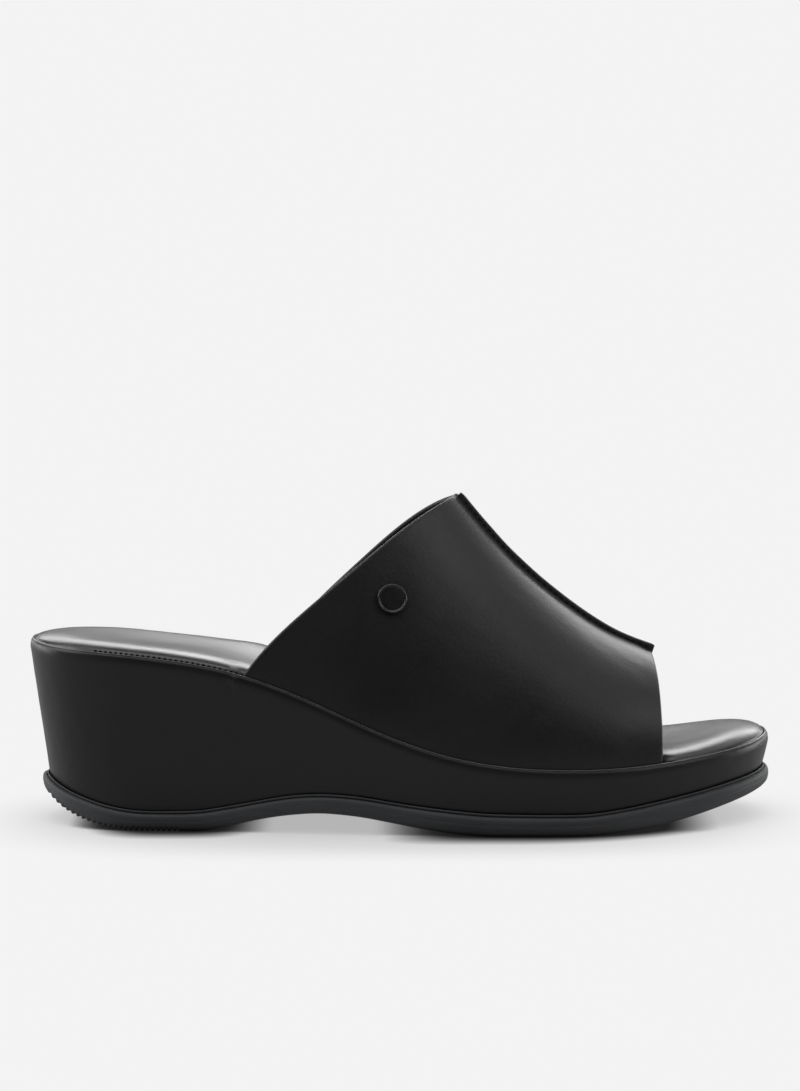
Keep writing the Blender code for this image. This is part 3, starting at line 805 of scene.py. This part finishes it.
def make_upper():
    nu, nv = 120, 220
    u = np.linspace(0, 1, nu + 1)
    turn = np.linspace(-1, 1, nv + 1)
    v = (turn * (0.62 + 0.38 * np.abs(turn)) + 1) / 2  # closer rows near the crest
    v[nv // 2] = 0.5
    uu, vv = np.meshgrid(u, v, indexing="ij")
    outer = upper_point(uu, vv)
    normal = upper_normal(uu, vv)
    soft = waves(21, 12, 22, 60)
    small = waves(22, 18, 6, 16)
    # Creases placed on the lateral and medial flex area, as long shallow waves running up from the foot.
    crest_near = np.abs(vv - 0.5)
    swell = 0.12 * soft(outer) + 0.02 * small(outer)
    free = np.minimum(1.0, np.minimum(vv, 1 - vv) / 0.06)
    at_edge = np.minimum(1.0, np.minimum(uu, 1 - uu) / 0.05)
    swell = swell * free * (0.35 + 0.65 * at_edge)
    for side_v, u0, lean, deep, width in (
        (0.10, 0.55, 0.5, -0.22, 0.030),
        (0.13, 0.64, 0.6, -0.20, 0.035),
        (0.10, 0.40, 0.3, -0.14, 0.035),
        (0.92, 0.52, -0.5, -0.22, 0.030),
        (0.88, 0.62, -0.6, -0.18, 0.035),
    ):
        axis = uu - u0 - lean * (vv - side_v)
        swell += deep * np.exp(-((axis / width) ** 2)) * np.exp(
            -(((vv - side_v) / 0.07) ** 2)
        )
    # The leather draws up to the raised seam.
    rise = 0.85 * np.exp(-((crest_near / 0.017) ** 2)) * (1 - 0.6 * smooth_step((uu - 0.93) / 0.06))
    outer = outer + normal * (swell + rise)[..., None]
    # The rivet pulls the leather in a little.
    centre = upper_point(np.array(RIVET_U), np.array(RIVET_V))
    away = np.linalg.norm(outer - centre, axis=-1)
    outer -= normal * (0.30 * np.exp(-((away / 6.5) ** 2)))[..., None]
    inner = outer - normal * WALL
    middle = outer - normal * (WALL / 2)

    def rim(i, j):
        """A rounded edge between outer and inner, bulging away from the neighbouring row j."""
        out = middle[i] - middle[j]
        out /= np.maximum(np.linalg.norm(out, axis=-1, keepdims=True), 1e-9)
        rows = []
        for a in np.linspace(0, np.pi, 9)[1:-1]:
            rows.append(
                middle[i]
                + normal[i] * (math.cos(a) * WALL / 2)
                + out * (math.sin(a) * WALL / 2 * 0.9)
            )
        return rows

    toe_edge = rim(-1, -3)
    collar_edge = rim(0, 2)[::-1]
    loops = list(outer) + toe_edge + list(inner[::-1]) + collar_edge
    grid = np.stack(loops)  # closed in the first direction
    rows, columns = grid.shape[:2]
    vertices = grid.reshape(-1, 3)
    faces, slots = [], []
    first_inner, last_inner = nu + 1 + len(toe_edge), 2 * (nu + 1) + len(toe_edge)
    for i in range(rows):
        j = (i + 1) % rows
        inside = first_inner + 1 <= i < last_inner - 2
        for k in range(columns - 1):
            faces.append(
                (
                    i * columns + k,
                    i * columns + k + 1,
                    j * columns + k + 1,
                    j * columns + k,
                )
            )
            slots.append(1 if inside else 0)
    for k in (0, columns - 1):  # the two feet, closed as strips
        for i in range(nu):
            a, b = i, i + 1
            c, d = first_inner + nu - i, first_inner + nu - i - 1
            faces.append(tuple(x * columns + k for x in (a, b, d, c)))
            slots.append(0)
        for edge, start, end in (
            (range(nu + 1, first_inner), nu, first_inner),
            (range(last_inner, rows), last_inner - 1, 0),
        ):
            faces.append(tuple(x * columns + k for x in [start, *edge, end]))
            slots.append(0)
    return add_piece(
        "upper_shell", vertices, faces, [M_UPPER, M_LINING], face_slots=slots
    )


def crest_frame(s):
    a, b = s - 0.3, s + 0.3
    along = np.array([b - a, crest_y(b) - crest_y(a), crest_z(b) - crest_z(a)], float)
    along /= np.linalg.norm(along)
    out = np.array([-along[2], 0.0, along[0]])
    out /= np.linalg.norm(out)
    if out[2] < 0:
        out = -out
    return (
        np.array([X_BACK + s, float(crest_y(s)), float(crest_z(s))]),
        along,
        out,
    )


def make_seam():
    """Two turned edges stand together along the crest, with a fine slit between them."""
    t, h, r = 1.12, FIN_HIGH, 0.72
    half = [(t + 0.20, -FIN_ROOT), (t + 0.15, -0.1), (t + 0.02, 0.5)]
    half += [(t - 0.03, 0.95), (t, h - r)]
    for a in np.linspace(0, 90, 6)[1:]:
        half.append(
            (t - r + r * math.cos(math.radians(a)), h - r + r * math.sin(math.radians(a)))
        )
    half += [(0.24, h - 0.02), (0.13, h - 0.09), (0.06, h - 0.22), (0.0, h - 0.5)]
    outline = half + [(-a, b) for a, b in half[-2::-1]]
    first, last = float(girth_crest(0.0)) + 0.1, float(girth_crest(1.0)) + 0.9
    steps = 150
    wander = waves(31, 10, 9, 40)
    rows = []
    for i in range(steps + 1):
        s = first + (last - first) * i / steps
        point, along, out = crest_frame(s)
        beside = np.cross(out, along)
        sway = 0.10 * float(wander(point)) * math.sin(math.pi * i / steps)
        lift = 0.05 * float(wander(point[[2, 0, 1]]))
        end = min(1.0, min(i, steps - i) / 1.5)
        shrink = 1 - 0.12 * (1 - end)
        rows.append(
            np.array(
                [
                    point
                    + beside * (a * shrink + sway * max(0.0, b / h))
                    + out * (b * (shrink if b > 0 else 1) + lift * max(0.0, b / h))
                    for a, b in outline
                ]
            )
        )
    count = len(outline)
    vertices = np.concatenate(rows)
    faces = [
        (
            i * count + k,
            i * count + (k + 1) % count,
            (i + 1) * count + (k + 1) % count,
            (i + 1) * count + k,
        )
        for i in range(steps)
        for k in range(count)
    ]
    faces.append(tuple(range(count)))
    faces.append(tuple(steps * count + k for k in range(count)))
    obj = add_piece("centre_seam", vertices, faces, [M_UPPER])
    obj.data.set_sharp_from_angle(angle=math.radians(60))
    return obj


# ---- stitches --------------------------------------------------------------------------------------------------------
def capsules(name, items, radius, material, sides=7, flat=1.0):
    """Short rounded strands: items of (start, end, bulge direction)."""
    vertices, faces = [], []
    for start, end, out in items:
        start, end, out = (np.asarray(x, float) for x in (start, end, out))
        axis = end - start
        length = np.linalg.norm(axis)
        axis /= length
        out = out - axis * (out @ axis)
        out /= np.linalg.norm(out)
        beside = np.cross(axis, out)
        base = len(vertices)
        steps = [(0.0, 0.35), (0.12, 0.8), (0.32, 1.0), (0.68, 1.0), (0.88, 0.8), (1.0, 0.35)]
        for t, w in steps:
            lift = math.sin(math.pi * t) * radius * 0.7
            centre = start + axis * length * t + out * (lift - radius * 0.35)
            for k in range(sides):
                a = 2 * math.pi * k / sides
                vertices.append(
                    centre
                    + out * math.sin(a) * radius * w * flat
                    + beside * math.cos(a) * radius * w
                )
        for i in range(len(steps) - 1):
            for k in range(sides):
                a, b = base + i * sides + k, base + i * sides + (k + 1) % sides
                faces.append((a, b, b + sides, a + sides))
        faces.append(tuple(base + k for k in range(sides)))
        top = base + (len(steps) - 1) * sides
        faces.append(tuple(top + k for k in range(sides)))
    return add_piece(name, np.array(vertices), faces, [material])


def make_edge_stitches():
    """Short dark stitches lying in the junction of footbed and cover, along both sides of the heel."""
    o = Outline(0.5)
    items = []
    pitch, long = 1.8, 1.0
    for side in (-1, 1):
        last = float((girth_lat if side < 0 else girth_med)(0.0)) - 1.6
        on = o.side == side
        s, p, n = o.s[on], o.p[on], o.normal[on]
        order = np.argsort(s)
        s, p, n = s[order], p[order], n[order]
        arc = np.concatenate(
            [[0], np.cumsum(np.linalg.norm(np.diff(p, axis=0), axis=1))]
        )
        first_arc, last_arc = np.interp([21.5, last], s, arc)
        for a in np.arange(last_arc - long, first_arc, -pitch):
            ends = []
            for d, high in ((0.0, 0.38), (long, 0.46)):
                x, y = np.interp(a + d, arc, p[:, 0]), np.interp(a + d, arc, p[:, 1])
                out = np.array([np.interp(a + d, arc, n[:, k]) for k in (0, 1)])
                out /= np.linalg.norm(out)
                x, y = np.array([x, y]) - out * 1.54
                ends.append((x, y, float(seat_z(x, y)) + high))
            items.append((ends[0], ends[1], (out[0], out[1], 0.5)))
    return capsules("edge_stitches", items, 0.33, M_HOLE)


def make_seam_stitches():
    """One row through the raised seam, seen as short strands on both of its sides."""
    first, last = float(girth_crest(0.0)) + 2.0, float(girth_crest(1.0)) - 1.0
    items = []
    travelled, s = 0.0, first
    pitch, long = 2.4, 1.5
    while s < last:
        point, along, out = crest_frame(s)
        beside = np.cross(out, along)
        for side in (-1, 1):
            a = point + beside * side * 1.12 + out * 1.10
            items.append((a, a + along * long, beside * side))
        s += pitch * float(along[0])
    return capsules("seam_stitches", items, 0.2, M_HOLE, sides=6)


# ---- the outsole -----------------------------------------------------------------------------------------------------
def groove(x, first, last, pitch, wide, deep):
    """Depth of the grooves at x: rounded valleys between rounded ribs."""
    s = x - X_BACK
    inside = smooth_step((s - (first - 0.6)) / 0.5) * smooth_step(((last + 0.6) - s) / 0.5)
    phase = ((s - first + pitch / 2) % pitch) - pitch / 2
    return deep * inside * (1 - smooth_step((np.abs(phase) - wide * 0.18) / (wide * 0.45)))


def make_outsole():
    o = Outline(1.2, extra=[(5.0, 53.0, 0.22), (130.0, 217.0, 0.5)])
    foot = -taper(o.s)

    def sole_point(offset, base, lift, share=0.0, heel=0.0):
        """A ring outside the wedge's foot: base 0 is the tread, 1 the lip; heel says how far the heel's ribs cut it."""
        xy = o.p + o.normal * (foot + offset)[:, None]
        s = station(xy[:, 0])
        z = tread_z(s) * (1 - base) + lip_z(s) * base + lift
        p = np.column_stack([xy, z])
        if heel > 0:
            cut = groove(p[:, 0], 7.0, 50.5, 1.8, 1.05, 0.85) * heel
            slope = (tread_z(s + 0.4) - tread_z(s - 0.4)) / 0.8
            angle = np.arctan(slope)
            p[:, 0] -= cut * np.sin(angle)
            p[:, 2] += cut * np.cos(angle)
        return p

    out = 2.3
    grain = waves(41, 14, 8, 40)
    rings = [
        sole_point(out - 6.0, 0, 0.0, heel=1.0),
        sole_point(out - 3.2, 0, 0.0, heel=1.0),
        sole_point(out - 1.9, 0, 0.04, heel=1.0),
        sole_point(out - 1.2, 0, 0.16, heel=1.0),
        sole_point(out - 0.7, 0, 0.38, heel=0.92),
        sole_point(out - 0.35, 0, 0.70, heel=0.75),
        sole_point(out - 0.12, 0, 1.15, heel=0.40),
        sole_point(out - 0.02, 0, 1.65, heel=0.08),
    ]
    for share, d in ((0.30, 0.04), (0.45, 0.06), (0.56, 0.07), (0.60, 0.03), (0.66, 0.04), (0.80, 0.05)):
        low = sole_point(out + d, 0, 1.65)
        high = sole_point(out + d, 1, -2.3)
        rings.append(low * (1 - share) + high * share)
    rings += [
        sole_point(out + 0.02, 1, -2.2),
        sole_point(out - 0.08, 1, -1.75),
        sole_point(out - 0.28, 1, -1.35),
        sole_point(out - 0.58, 1, -1.06),
        sole_point(out - 0.90, 1, -0.92),
        sole_point(out - 1.12, 1, -0.93),
        sole_point(out - 1.26, 1, -1.02),
        sole_point(0.64, 1, -1.08),
        sole_point(0.58, 1, -0.86),
        sole_point(0.68, 1, -0.62),
        sole_point(0.84, 1, -0.50),
        sole_point(0.92, 1, -0.34),
        sole_point(0.88, 1, -0.14),
        sole_point(0.74, 1, 0.00),
        sole_point(0.54, 1, 0.04),
        sole_point(0.38, 1, -0.04),
        sole_point(0.30, 1, -0.28),
        sole_point(0.22, 1, -0.86),
        sole_point(-0.9, 1, -LIP_HIGH),
    ]
    for k in range(8, 17):
        p = rings[k]
        p[:, :2] += o.normal * (0.035 * grain(p))[:, None]

    def tread(x, y):
        s = station(x)
        z = tread_z(s)
        cut = groove(x, 7.0, 50.5, 1.8, 1.05, 0.85)
        low, high = edge_y(s, -1) + 5.0, edge_y(s, 1) - 5.0
        inside = smooth_step((y - low) / 1.0) * smooth_step((high - y) / 1.0)
        fore = groove(x, 132.0, 212.0, 5.0, 1.7, 0.8) * inside
        return z + cut + fore

    def floor(x, y):
        return lip_z(station(x)) - LIP_HIGH

    return ring_body("outsole_unit", o, rings, tread, floor, 44, [M_RUBBER])


# ---- the rivet -------------------------------------------------------------------------------------------------------
def make_rivet():
    """A cap with a thin rounded ring round a bare, recessed, slightly domed face."""
    h = RIVET_HIGH
    rim = [
        (4.16, h - 0.46),
        (4.24, h - 0.36),
        (4.32, h - 0.16),
        (4.42, h - 0.04),
        (4.54, h),
        (4.66, h - 0.04),
        (4.77, h - 0.15),
        (4.86, h - 0.34),
        (4.90, h - 0.60),
        (4.89, h - 1.0),
        (4.80, -0.25),
    ]
    face = 4.10
    turns, inner = 128, 22
    vertices, faces = [(0.0, 0.0, 0.0)], []
    for i in range(1, inner + 1):
        rad = face * i / inner
        for k in range(turns):
            a = 2 * math.pi * k / turns
            vertices.append((rad * math.cos(a), rad * math.sin(a), 0.0))
    for n, (x, y, z) in enumerate(vertices):
        dome = 0.12 * (1 - (math.hypot(x, y) / face) ** 2)
        vertices[n] = (x, y, h - 0.58 + dome)
    for rad, z in rim:
        for k in range(turns):
            a = 2 * math.pi * k / turns
            vertices.append((rad * math.cos(a), rad * math.sin(a), z))
    rings = inner + len(rim)
    for k in range(turns):
        j = (k + 1) % turns
        faces.append((0, 1 + k, 1 + j))
        for i in range(rings - 1):
            a = 1 + i * turns
            faces.append((a + k, a + turns + k, a + turns + j, a + j))
    last = 1 + (rings - 1) * turns
    faces.append(tuple(last + k for k in range(turns)))
    point = upper_point(np.array(RIVET_U), np.array(RIVET_V))
    normal = upper_normal(np.array(RIVET_U), np.array(RIVET_V))
    x_axis = np.cross([0.0, 0.0, 1.0], normal)
    x_axis /= np.linalg.norm(x_axis)
    y_axis = np.cross(normal, x_axis)
    basis = np.column_stack([x_axis, y_axis, normal])
    placed = np.array(vertices) @ basis.T + point + normal * 0.1
    return add_piece("rivet_cap", placed, faces, [M_ENAMEL])


# ---- put it together -------------------------------------------------------------------------------------------------
for piece, node, slot in (
    (make_wedge(), "wedge", "wedge_cover"),
    (make_footbed(), "insole", "footbed_leather"),
    (make_upper(), "upper", "upper_leather"),
    (make_outsole(), "outsole", "rubber"),
    (make_rivet(), "rivet", "enamelled_metal"),
):
    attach(piece, "root")
    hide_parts(node)
for piece, slot in (
    (make_seam(), "upper_leather"),
    (make_edge_stitches(), "wedge_cover"),
    (make_seam_stitches(), "upper_leather"),
):
    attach(piece, "root")


# ---- stage, light and camera -----------------------------------------------------------------------------------------
scene = bpy.context.scene
scene.view_settings.view_transform = "Standard"
scene.view_settings.look = "None"
PALE = 0.896  # the plain background's brightness
FLOOR_GLOW = 0.498  # what the table sends up to the shoe
# Reaches of the painted contact shadow and the painted broad shadow on the table, in metres.
CONTACT_NEAR, CONTACT_FAR = 0.006, 0.045
SHADE = (  # painted shadow patches: centre x and y, half length, half depth, lean, where it starts to clear, where it is clear, darkest
    (-0.0745, -0.010, 0.0260, 0.0335, 0.0, 0.72, 1.30, 0.035),
    (0.0520, -0.010, 0.0460, 0.0440, 0.9, 0.78, 1.26, 0.030),
    (-0.0030, -0.012, 0.1050, 0.0600, 0.0, 0.72, 1.38, 0.80),
)


def make_floor():
    """A lit white table with painted shadow: its glow is darkened where the shoe stands close over it."""
    mesh = bpy.data.meshes.new("studio_floor")
    size = 6.0
    mesh.from_pydata(
        [(-size, -size, 0), (size, -size, 0), (size, size, 0), (-size, size, 0)],
        [],
        [(0, 1, 2, 3)],
    )
    obj = bpy.data.objects.new("studio_floor", mesh)
    scene.collection.objects.link(obj)
    m = bpy.data.materials.new("studio_paper")
    m.use_nodes = True
    t = m.node_tree
    t.nodes.remove(t.nodes["Principled BSDF"])

    def math_node(operation, a, b):
        n = t.nodes.new("ShaderNodeMath")
        n.operation = operation
        for socket, v in zip(n.inputs, (a, b)):
            if isinstance(v, (int, float)):
                socket.default_value = v
            else:
                t.links.new(v, socket)
        return n.outputs[0]

    def open_sky(distance, low, high, to_low, to_high):
        """How open the floor is within this distance, remapped."""
        ao = t.nodes.new("ShaderNodeAmbientOcclusion")
        ao.inputs["Distance"].default_value = distance
        ao.samples = 16
        n = t.nodes.new("ShaderNodeMapRange")
        n.interpolation_type = "SMOOTHSTEP"
        for k, v in zip(
            ("From Min", "From Max", "To Min", "To Max"), (low, high, to_low, to_high)
        ):
            n.inputs[k].default_value = v
        t.links.new(ao.outputs["AO"], n.inputs["Value"])
        return n.outputs["Result"]

    place = t.nodes.new("ShaderNodeTexCoord")
    split = t.nodes.new("ShaderNodeSeparateXYZ")
    t.links.new(place.outputs["Object"], split.inputs[0])

    def shade(x, y, long, deep, lean, first, last, darkest):
        """A painted shadow: the soft dark patch where the heel or the ball stands on the table, reaching out a little
        in front.
        """
        v = math_node("SUBTRACT", split.outputs[1], y)
        ahead = math_node("MINIMUM", math_node("ADD", split.outputs[1], 0.030), 0.0)
        u = math_node("SUBTRACT", math_node("SUBTRACT", split.outputs[0], x), math_node("MULTIPLY", ahead, lean))
        u = math_node("POWER", math_node("ABSOLUTE", math_node("DIVIDE", u, long), 0.0), 3.0)
        v = math_node("POWER", math_node("ABSOLUTE", math_node("DIVIDE", v, deep), 0.0), 3.0)
        n = t.nodes.new("ShaderNodeMapRange")
        n.interpolation_type = "SMOOTHSTEP"
        for k, value in zip(("From Min", "From Max", "To Min", "To Max"), (first, last, darkest, 1.0)):
            n.inputs[k].default_value = value
        t.links.new(math_node("POWER", math_node("ADD", u, v), 1.0 / 3.0), n.inputs["Value"])
        return n.outputs["Result"]

    # Painted shadow on the glowing table: ambient occlusion and the shade patches darken its glow near the shoe.
    painted_contact_shadow = open_sky(CONTACT_NEAR, 0.05, 0.9, 0.02, 1.0)
    for patch in SHADE:
        painted_contact_shadow = math_node("MINIMUM", painted_contact_shadow, shade(*patch))
    painted_broad_shadow = open_sky(CONTACT_FAR, 0.0, 1.0, 0.64, 1.0)
    ray = t.nodes.new("ShaderNodeLightPath")
    level = t.nodes.new("ShaderNodeMix")
    level.data_type = "FLOAT"
    t.links.new(ray.outputs["Is Camera Ray"], level.inputs["Factor"])
    level.inputs[2].default_value = FLOOR_GLOW
    level.inputs[3].default_value = PALE
    glow = t.nodes.new("ShaderNodeEmission")
    glow.inputs["Color"].default_value = (1, 1, 1, 1)
    t.links.new(
        math_node("MULTIPLY", math_node("MULTIPLY", painted_contact_shadow, painted_broad_shadow), level.outputs[0]),
        glow.inputs["Strength"],
    )
    t.links.new(glow.outputs[0], t.nodes["Material Output"].inputs["Surface"])
    mesh.materials.append(m)
    return obj


make_floor()

world = bpy.data.worlds.new("studio")
scene.world = world
world.use_nodes = True
wt = world.node_tree
background = wt.nodes["Background"]
seen = wt.nodes.new("ShaderNodeBackground")
seen.inputs["Color"].default_value = (PALE, PALE, PALE, 1)
background.inputs["Strength"].default_value = 0.03
background.inputs["Color"].default_value = (1, 1, 1, 1)
ray = wt.nodes.new("ShaderNodeLightPath")
choose = wt.nodes.new("ShaderNodeMixShader")
wt.links.new(ray.outputs["Is Camera Ray"], choose.inputs["Fac"])
wt.links.new(background.outputs[0], choose.inputs[1])
wt.links.new(seen.outputs[0], choose.inputs[2])
wt.links.new(choose.outputs[0], wt.nodes["World Output"].inputs["Surface"])


# Softboxes round the table, a metre and a half away: azimuth (0 at the camera, 90 at the toe, 180 behind), height
# angle, width, height, watts.
SOFTBOXES = (
    (110, 9, 0.75, 0.5, 6.71),
    (140, 9, 0.75, 0.5, 2.2),
    (165, 28, 0.75, 0.5, 4.5),
    (195, 28, 0.75, 0.5, 4.2),
    (220, 9, 0.75, 0.5, 2.1),
    (250, 9, 0.75, 0.5, 5.73),
    (310, 9, 0.75, 0.5, 0.29),
    (150, 24, 0.75, 0.45, 1.29),
    (60, 38, 0.9, 0.7, 4.04),
    (130, 38, 0.9, 0.7, 1.77),
    (270, 38, 0.9, 0.7, 7.7),
    (40, 60, 0.8, 0.7, 0.42),
    (120, 60, 0.8, 0.7, 1.19),
    (240, 60, 0.8, 0.7, 1.71),
    (320, 60, 0.8, 0.7, 2.89),
    (0, 89.9, 0.9, 0.9, 4.41),
)


def softbox(azimuth, up, width, height, watts):
    light = bpy.data.lights.new("softbox", "AREA")
    light.shape = "RECTANGLE"
    light.size, light.size_y = width, height
    light.energy = watts
    obj = bpy.data.objects.new("softbox", light)
    scene.collection.objects.link(obj)
    a, e = math.radians(azimuth), math.radians(up)
    away = Vector(
        (math.sin(a) * math.cos(e), -math.cos(a) * math.cos(e), math.sin(e))
    )
    obj.location = Vector((0.0, 0.0, 0.04)) + away * (1.4 if up > 89 else 1.5)
    obj.rotation_euler = (-away).to_track_quat("-Z", "Y").to_euler()
    obj.visible_camera = False


for row in SOFTBOXES:
    softbox(*row)

camera = bpy.data.cameras.new("camera")
camera.sensor_fit = "AUTO"
camera.sensor_width = 36.0
camera.lens = 3900.0 * 36.0 / 1091.0
camera.clip_end = 30.0
camera_object = bpy.data.objects.new("camera", camera)
scene.collection.objects.link(camera_object)
camera_object.location = (-0.0003, -1.29188, 0.21511)
camera_object.rotation_euler = (math.radians(90 - 5.5), 0.0, 0.0)
scene.camera = camera_object
